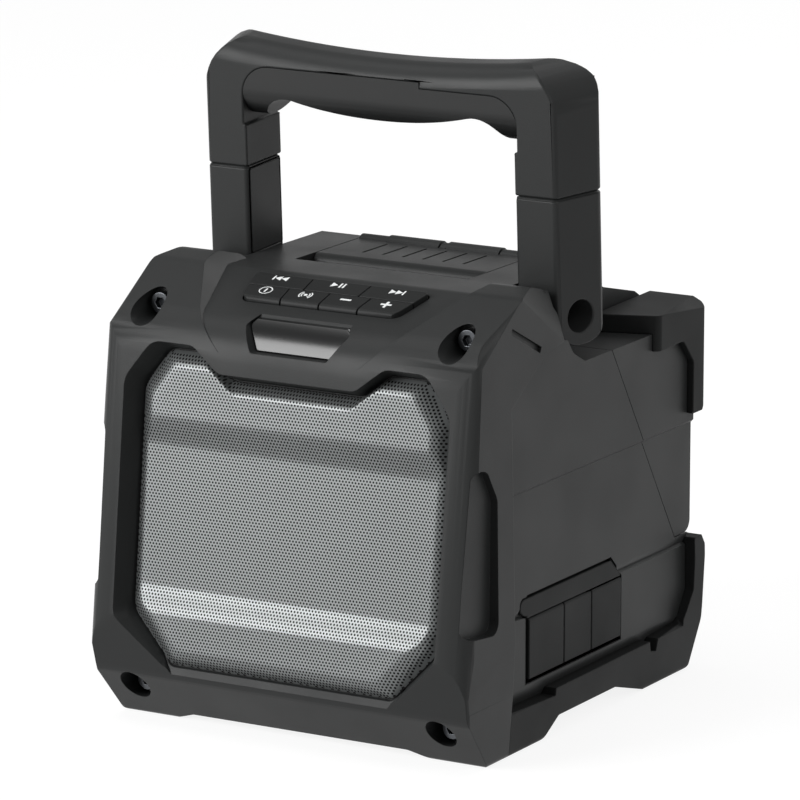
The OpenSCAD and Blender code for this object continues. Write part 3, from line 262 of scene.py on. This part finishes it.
# Finishes of the CAD nodes: material, then bevel width in mm
KEY_FINISH = (KEY_ABS, 0.3)
FINISH = {
    "front_cover": (CHARCOAL, 0.0), "main_housing": (SHELL, 0.0), "battery_lid": (SHELL, 0.0),
    "battery_tray": (CHARCOAL, 0.3), "baffle": (CHARCOAL, 0.0), "latch_lever": (CHARCOAL, 0.0),
    "handle_bow": (CHARCOAL, 0.8), "handle_grip": (GRIP_RUBBER, 0.0),
    "handle_arm_left": (CHARCOAL, 0.7), "handle_arm_right": (CHARCOAL, 0.7),
    "arm_cap_left": (CHARCOAL, 0.3), "arm_cap_right": (CHARCOAL, 0.3),
    "side_skid_left": (RUBBER, 0.0), "side_skid_right": (RUBBER, 0.0),
    "lid_bumper_left": (RUBBER, 0.3), "lid_bumper_right": (RUBBER, 0.3),
    "port_panel": (CHARCOAL, 0.2), "port_strip": (RUBBER, 0.4), "port_flap_usb": (RUBBER, 0.35),
    "port_flap_audio": (RUBBER, 0.35), "port_flap_power": (RUBBER, 0.35),
    "usb_socket": (PLATED_STEEL, 0.1), "audio_jack": (NYLON, 0.1), "power_jack": (NYLON, 0.1),
    "battery_rail_wide": (CHARCOAL, 0.3), "battery_rail_narrow": (CHARCOAL, 0.3),
    "display_window": (SMOKED, 0.5), "grille": (GRILLE_STEEL, 0.0), "grille_gasket": (FOAM, 0.0),
    "keypad_board": (BOARD, 0.0), "main_board": (BOARD, 0.2), "front_screws": (ZINC, 0.3),
    "pivot_bolts": (BLACK_STEEL, 0.3), "lid_hinge_pin": (PLATED_STEEL, 0.2),
    "latch_pin": (PLATED_STEEL, 0.2), "woofer_basket": (BLACK_STEEL, 0.0),
    "woofer_magnet": (FERRITE, 0.4), "woofer_surround": (RUBBER, 0.0),
    "woofer_spider": (SPIDER, 0.0), "woofer_cone": (PAPER, 0.0), "dust_cap": (PAPER, 0.0),
    "voice_coil": (COPPER, 0.0), "tweeter_body": (BLACK_STEEL, 0.2), "tweeter_dome": (ALUMINIUM, 0.0),
}


def smooth_group():
    """Geometry nodes that shade smooth across edges under SMOOTH_ANGLE."""
    group = bpy.data.node_groups.new("smooth_by_angle", "GeometryNodeTree")
    for way in ("INPUT", "OUTPUT"):
        group.interface.new_socket("Geometry", in_out=way, socket_type="NodeSocketGeometry")
    start = add(group, "NodeGroupInput")
    angle = add(group, "GeometryNodeInputMeshEdgeAngle")
    flat = add(group, "FunctionNodeCompare", {0: angle.outputs["Unsigned Angle"], 1: SMOOTH_ANGLE},
               operation="LESS_THAN")
    edges = add(group, "GeometryNodeSetShadeSmooth",
                {"Geometry": start.outputs[0], "Shade Smooth": flat.outputs[0]}, domain="EDGE")
    faces = add(group, "GeometryNodeSetShadeSmooth",
                {"Geometry": edges.outputs[0], "Shade Smooth": True}, domain="FACE")
    add(group, "NodeGroupOutput", {0: faces.outputs[0]})
    return group


def finish_node(node, surface, bevel, group):
    """Dresses a CAD node: welds its triangles, rounds its edges and shades it smooth."""
    node.data.materials.clear()
    node.data.materials.append(surface)
    weld = node.modifiers.new("weld", "WELD")
    weld.merge_threshold = WELD_GAP * MM
    flat = node.modifiers.new("flatten", "DECIMATE")
    flat.decimate_type = "DISSOLVE"
    flat.angle_limit = FLAT_ANGLE
    if bevel:
        edge = node.modifiers.new("edge", "BEVEL")
        edge.width = bevel * MM
        edge.segments = BEVEL_STEPS
        edge.limit_method = "ANGLE"
        edge.angle_limit = BEVEL_ANGLE
        edge.use_clamp_overlap = False
    smooth = node.modifiers.new("smooth", "NODES")
    smooth.node_group = group
    node.modifiers.new("normals", "WEIGHTED_NORMAL").keep_sharp = True


def mesh_object(name, points, faces, surface, smooth=True):
    """Makes an object from points in metres and faces."""
    mesh = bpy.data.meshes.new(name)
    mesh.from_pydata(points.tolist(), [], faces)
    mesh.polygons.foreach_set("use_smooth", [smooth] * len(faces))
    mesh.materials.append(surface)
    made = bpy.data.objects.new(name, mesh)
    bpy.context.scene.collection.objects.link(made)
    return made


def mesh_piece(name, points, faces, surface, body, smooth=True):
    """Makes a piece from points in metres and faces, riding on a CAD body."""
    piece = mesh_object(name, points, faces, surface, smooth)
    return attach(piece, body)


# Frames on the leaning face and on the control deck

def on_face(u, v, w):
    """Point of the leaning face: u sideways, v up the face, w out of it (mm to metres)."""
    y0 = FRONT_Y + (FACE_Z - LIP_LOW_Z) * math.tan(FRONT_LEAN)
    y = y0 + v * math.sin(FRONT_LEAN) - w * math.cos(FRONT_LEAN)
    z = FACE_Z + v * math.cos(FRONT_LEAN) + w * math.sin(FRONT_LEAN)
    return np.stack(np.broadcast_arrays(u, y, z), -1) * MM


def on_panel(u, v, w):
    """Point of the control deck: u sideways, v up the slope, w out of it (mm to metres)."""
    y = PANEL_Y + v * math.cos(PANEL_SLOPE) - w * math.sin(PANEL_SLOPE)
    z = PANEL_Z + v * math.sin(PANEL_SLOPE) + w * math.cos(PANEL_SLOPE)
    return np.stack(np.broadcast_arrays(u, y, z), -1) * MM


def circle(turn):
    """Points (cos, sin) of the unit circle at the given angles."""
    return np.stack([np.cos(turn), np.sin(turn)], -1)


# The perforated grille

def grille_corners(margin):
    """Corners of the grille's whole outline, narrowed by a margin, as rows of u, v and corner radius.

    The right half is OPENING_X - inset + margin * shift, and the left half mirrors it from top to bottom.
    """
    inset, v, r, shift_u, shift_v = OPENING_CORNERS.T
    right = np.stack([OPENING_X - inset + shift_u * margin, v + shift_v * margin, r], -1)
    return np.concatenate([right, right[::-1] * [-1, 1, 1]])


def rounded(corners, steps=10):
    """Closed outline with each corner replaced by an arc of its radius r.

    With half the angle between a corner's two sides as h, the arc's middle lies r / sin(h) from the
    corner on the line that halves the angle, and the arc runs between the points r / tan(h) away on
    the two sides.
    """
    at, r = corners[:, :2], corners[:, 2:]
    back, ahead = np.roll(at, 1, axis=0) - at, np.roll(at, -1, axis=0) - at
    back = back / np.linalg.norm(back, axis=1, keepdims=True)
    ahead = ahead / np.linalg.norm(ahead, axis=1, keepdims=True)
    half = np.arccos(np.clip((back * ahead).sum(axis=1, keepdims=True), -1, 1)) / 2
    inward = (back + ahead) / np.linalg.norm(back + ahead, axis=1, keepdims=True)
    middle = at + inward * r / np.sin(half)
    first = at + back * r / np.tan(half) - middle
    last = at + ahead * r / np.tan(half) - middle
    start = np.arctan2(first[:, 1:], first[:, :1])
    turn = (np.arctan2(last[:, 1:], last[:, :1]) - start + math.pi) % math.tau - math.pi
    arcs = circle(start + turn * np.linspace(0, 1, steps))
    return (middle[:, None] + r[:, None] * arcs).reshape(-1, 2)


def outline_reach(steps=40):
    """Angles round the middle of the grille, in order, and the outline's distance at each."""
    corners = rounded(grille_corners(GRILLE_MARGIN))
    sides = np.roll(corners, -1, axis=0) - corners
    along = np.linspace(0, 1, steps, endpoint=False)[:, None, None]
    outline = (corners + sides * along).reshape(-1, 2)
    angle = np.arctan2(outline[:, 1], outline[:, 0])
    order = np.argsort(angle)
    return angle[order], np.linalg.norm(outline[order], axis=1)


ANGLES, REACH = outline_reach()


def share_out(u, v):
    """How far a point lies from the middle, as a share of the outline's distance in its direction."""
    return np.hypot(u, v) / np.interp(np.arctan2(v, u), ANGLES, REACH, period=math.tau)


def soft_min(a, b, reach):
    """The lower of two heights, blended where they differ by less than reach.

    It is b + (a - b) s - reach s (1 - s), with s = 1/2 + (b - a) / (2 reach), kept from 0 to 1.
    """
    share = np.clip(0.5 + (b - a) / (2 * reach), 0, 1)
    return b + (a - b) * share - reach * share * (1 - share)


def grille_height(u, v):
    """Height of the sheet: w = soft_min(-RIM_DEPTH + PAN_RISE (1 - s) / (1 - PAN_TAPER), channel(v)).

    s is share_out, and channel is -FACE_DEPTH - CHANNEL_DEPTH k^2 (3 - 2 k), where k rises from 0 to
    1 and falls again between the heights of CHANNEL_V.
    """
    border = -RIM_DEPTH + PAN_RISE * (1 - share_out(u, v)) / (1 - PAN_TAPER)
    low0, low1, high0, high1 = CHANNEL_V
    sink = np.clip(np.minimum((v - low0) / (low1 - low0), (high1 - v) / (high1 - high0)), 0, 1)
    sink = sink * sink * (3 - 2 * sink)
    return soft_min(border, -FACE_DEPTH - CHANNEL_DEPTH * sink, PAN_BLEND)


def hole_cell():
    """Angles of a cell's corners and hole points, and the ring of triangles between them.

    The corners are points 0 to 5 and the hole points 6 to 13. Going round by angle, each corner or
    hole point that is reached closes a triangle with the last corner and the last hole point.
    """
    corner = math.pi / 6 + np.arange(CELL_CORNERS) * math.pi / 3
    hole = math.pi / 8 + np.arange(HOLE_SIDES) * math.pi / 4
    reached = np.concatenate([corner[1:], corner[:1] + math.tau, hole[1:], hole[:1] + math.tau])
    at_corner = np.argsort(reached) < CELL_CORNERS
    i = np.cumsum(at_corner) - at_corner
    j = np.arange(len(reached)) - i
    new = np.where(at_corner, (i + 1) % CELL_CORNERS, CELL_CORNERS + (j + 1) % HOLE_SIDES)
    return corner, hole, np.stack([i % CELL_CORNERS, new, CELL_CORNERS + j % HOLE_SIDES], -1)


def perforated_sheet():
    """The formed sheet: hexagon cells in staggered rows, each a ring around an eight-sided hole.

    Cell (i, j) lies at ((i + j % 2 / 2) pitch, j pitch sqrt(3) / 2). Cells on the border are closed
    and their corners pulled in to the outline. Every point is then lifted to grille_height.
    """
    corner, hole, triangles = hole_cell()
    row_step = HOLE_PITCH * math.sqrt(3) / 2
    steps = np.arange(-CELL_SPAN, CELL_SPAN + 1)
    row, column = np.meshgrid(steps, steps)
    middle = np.stack([(column + 0.5 * (row % 2)) * HOLE_PITCH, row * row_step + MIDDLE_ROW_V], -1)
    middle = middle.reshape(-1, 1, 2)
    share = share_out(middle[:, 0, 0], middle[:, 0, 1])
    middle, share = middle[share < 1.0], share[share < 1.0]
    corners = middle + HOLE_PITCH / math.sqrt(3) * circle(corner)
    corners /= np.maximum(1.0, share_out(corners[..., 0], corners[..., 1]))[..., None]
    shared, places = np.unique(np.round(corners.reshape(-1, 2), 3), axis=0, return_inverse=True)
    places = places.reshape(-1, CELL_CORNERS)
    pierced = share < PIERCED
    holes = (middle[pierced] + HOLE_R * circle(hole)).reshape(-1, 2)
    hole_places = len(shared) + np.arange(len(holes)).reshape(-1, HOLE_SIDES)
    cells = np.concatenate([places[pierced], hole_places], axis=1)
    faces = cells[:, triangles].reshape(-1, 3).tolist() + places[~pierced].tolist()
    u, v = np.concatenate([shared, holes]).T
    sheet = mesh_piece("grille_sheet", on_face(u, v, grille_height(u, v)), faces, GRILLE_STEEL, "base")
    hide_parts("grille")
    return sheet


def grille_cloth_and_hole_shade(turns=96, rings=24):
    """Dust cloth behind the sheet: (turn, s) -> s REACH(turn) (cos, sin), CLOTH_GAP behind the sheet.

    Its near-black is painted shade for the holes in front of it.
    """
    turn, share = np.meshgrid(np.linspace(0, math.tau, turns, endpoint=False),
                              np.linspace(*CLOTH_REACH, rings))
    far = np.interp(turn, ANGLES, REACH, period=math.tau) * share
    u, v = far * np.cos(turn), far * np.sin(turn)
    points = on_face(u, v, grille_height(u, v) - CLOTH_GAP).reshape(-1, 3)
    at = np.arange(rings * turns).reshape(rings, turns)
    after = np.roll(at, -1, axis=1)
    faces = np.stack([at[:-1], after[:-1], after[1:], at[1:]], -1).reshape(-1, 4)[:, ::-1].tolist()
    faces.append(at[0].tolist())
    # The cloth's near-black colour stands in as painted shade in the grille's holes
    return mesh_piece("grille_cloth_and_hole_shade", points, faces, CLOTH_AS_HOLE_SHADE, "base")


# Prints on the keys, drawn around each key's middle in millimetres

def bar(x0, y0, x1, y1):
    """A rectangle between two corners."""
    return np.array([[x0, y0], [x1, y0], [x1, y1], [x0, y1]])


def upright(x0, x1):
    """A bar as high as the arrows."""
    return bar(x0, -SIGN_HALF, x1, SIGN_HALF)


def arrow(x):
    """A triangle that stands on x and points along u."""
    return np.array([[x, -SIGN_HALF], [x + ARROW_LONG, 0], [x, SIGN_HALF]])


def arc(r, thick, start, end, steps=20):
    """A band of a circle between two angles in degrees: out along r and back along r - thick."""
    turn = circle(np.radians(np.linspace(start, end, steps)))
    return np.concatenate([turn * r, turn[::-1] * (r - thick)])


def ring(r, thick):
    """A whole circle from two bands."""
    return [arc(r, thick, 0, 180), arc(r, thick, 180, 360)]


def key_print(key, share, v, shapes):
    """Raised ink on a key: each closed shape becomes a thin prism on the key's face.

    It has a top, and a side for each edge, from PRINT_SUNK below the face to PRINT_T above it.
    """
    points, faces, first = [], [], 0
    u = share * (KEYS_FRONT_X + (KEYS_REAR_X - KEYS_FRONT_X) * v / KEYS_LEN)
    for shape in shapes:
        x, y = shape.T
        points += [on_panel(u + x, v + y, w) for w in (KEY_TOP - PRINT_SUNK, KEY_TOP + PRINT_T)]
        low = first + np.arange(len(shape))
        after, high = np.roll(low, -1), low + len(shape)
        faces.append(high.tolist())
        faces += np.stack([low, after, after + len(shape), high], -1).tolist()
        first += 2 * len(shape)
    mesh_piece("print_" + key, np.concatenate(points), faces, INK, "key_" + key, smooth=False)


def key_prints():
    """All seven prints: previous, play and pause, next, power, pairing, minus and plus."""
    front, rear, third = KEYS_LEN * FRONT_ROW, KEYS_LEN * REAR_ROW, 2 / 3
    skip = [arrow(0.2), arrow(-2.7), upright(3.2, 3.9)]
    key_print("previous", -third, rear, [(shape * [-1, 1])[::-1] for shape in skip])
    key_print("play_pause", 0, rear, [arrow(-3.2), upright(0.5, 1.3), upright(2.1, 2.9)])
    key_print("next", third, rear, skip)
    key_print("power", -0.75, front, ring(2.9, 0.45) + [bar(-0.35, -1.4, 0.35, 1.4)])
    waves = [arc(r, 0.5, start, start + 100) for start in (-50, 130) for r in (2.0, 3.0)]
    key_print("pairing", -0.25, front, ring(0.8, 0.79) + waves)
    arm, half = 2.4, 0.55
    minus = bar(-arm, -half, arm, half)
    key_print("volume_down", 0.25, front, [minus])
    plus = [minus, bar(-half, half, half, arm), bar(-half, -arm, half, -half)]
    key_print("volume_up", 0.75, front, plus)


# Stage, lights and camera

def area_light(name, place, target, size, power):
    """A soft rectangular light aimed at a point."""
    light = bpy.data.lights.new(name, "AREA")
    light.shape = "RECTANGLE"
    light.size, light.size_y = size
    light.energy = power
    lamp = bpy.data.objects.new(name, light)
    lamp.location = place
    lamp.rotation_euler = (Vector(target) - Vector(place)).to_track_quat("-Z", "Y").to_euler()
    bpy.context.scene.collection.objects.link(lamp)


def pale_paper():
    """White paper of the sweep: lit as it is, with a glow where it is seen or reflected."""
    paper = material("pale_paper", "707070", 0.9)
    tree = paper.node_tree
    path = add(tree, "ShaderNodeLightPath")
    seen = add(tree, "ShaderNodeMath", {
        0: path.outputs["Is Camera Ray"], 1: path.outputs["Is Glossy Ray"]}, operation="MAXIMUM")
    shown = add(tree, "ShaderNodeMath", {
        0: seen.outputs[0], 1: path.outputs["Is Transmission Ray"]}, operation="MAXIMUM")
    glow = add(tree, "ShaderNodeMath", {0: shown.outputs[0], 1: PAPER_GLOW}, operation="MULTIPLY")
    fill(tree, tree.nodes["Principled BSDF"], {
        "Emission Color": srgb("ffffff"), "Emission Strength": glow.outputs[0]})
    return paper


def paper_sweep():
    """Floor and backdrop: a straight floor and a quarter circle, carried along x.

    The quarter circle is (y, z) = (SWEEP_BEND + SWEEP_R sin t, SWEEP_R - SWEEP_R cos t).
    """
    turn = np.radians(np.arange(0, 100, 10))
    y = np.append(SWEEP_NEAR, SWEEP_BEND + SWEEP_R * np.sin(turn))
    z = np.append(0.0, SWEEP_R - SWEEP_R * np.cos(turn))
    x = np.array([-SWEEP_HALF, SWEEP_HALF])
    points = np.stack(np.broadcast_arrays(x, y[:, None], z[:, None]), -1).reshape(-1, 3)
    left, right = np.arange(len(points)).reshape(-1, 2).T
    faces = np.stack([left[:-1], right[:-1], right[1:], left[1:]], -1).tolist()
    return mesh_object("sweep", points, faces, pale_paper())


def stage():
    """Pale floor that sweeps up into a backdrop, studio lights and the photograph's camera."""
    scene = bpy.context.scene
    sweep = paper_sweep()
    for name, light in SOFTBOXES.items():
        area_light(name, *light)
    world = bpy.data.worlds.new("studio")
    world.use_nodes = True
    tree = world.node_tree
    fill(tree, tree.nodes["Background"], {"Color": srgb("ffffff"), "Strength": ROOM_LIGHT})
    scene.world = world
    camera = bpy.data.objects.new("camera", bpy.data.cameras.new("camera"))
    camera.data.lens = CAMERA_LENS
    camera.data.sensor_width = CAMERA_SENSOR
    camera.data.clip_end = CAMERA_FAR
    camera.location = CAMERA_AT
    level = math.cos(CAMERA_DROP)
    look = Vector((-math.sin(CAMERA_TURN) * level, math.cos(CAMERA_TURN) * level, -math.sin(CAMERA_DROP)))
    camera.rotation_euler = look.to_track_quat("-Z", "Y").to_euler()
    scene.collection.objects.link(camera)
    scene.camera = camera
    scene.view_settings.view_transform = "Standard"


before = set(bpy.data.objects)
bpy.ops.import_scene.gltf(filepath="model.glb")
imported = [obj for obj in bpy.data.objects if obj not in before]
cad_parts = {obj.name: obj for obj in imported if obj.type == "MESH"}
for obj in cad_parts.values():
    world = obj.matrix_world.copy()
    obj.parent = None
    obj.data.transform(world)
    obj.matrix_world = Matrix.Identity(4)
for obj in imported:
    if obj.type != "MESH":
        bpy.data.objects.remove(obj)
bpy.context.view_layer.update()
group = smooth_group()
for name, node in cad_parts.items():
    surface, bevel = FINISH.get(name, KEY_FINISH)
    finish_node(node, surface, bevel, group)
perforated_sheet()
grille_cloth_and_hole_shade()
key_prints()
stage()
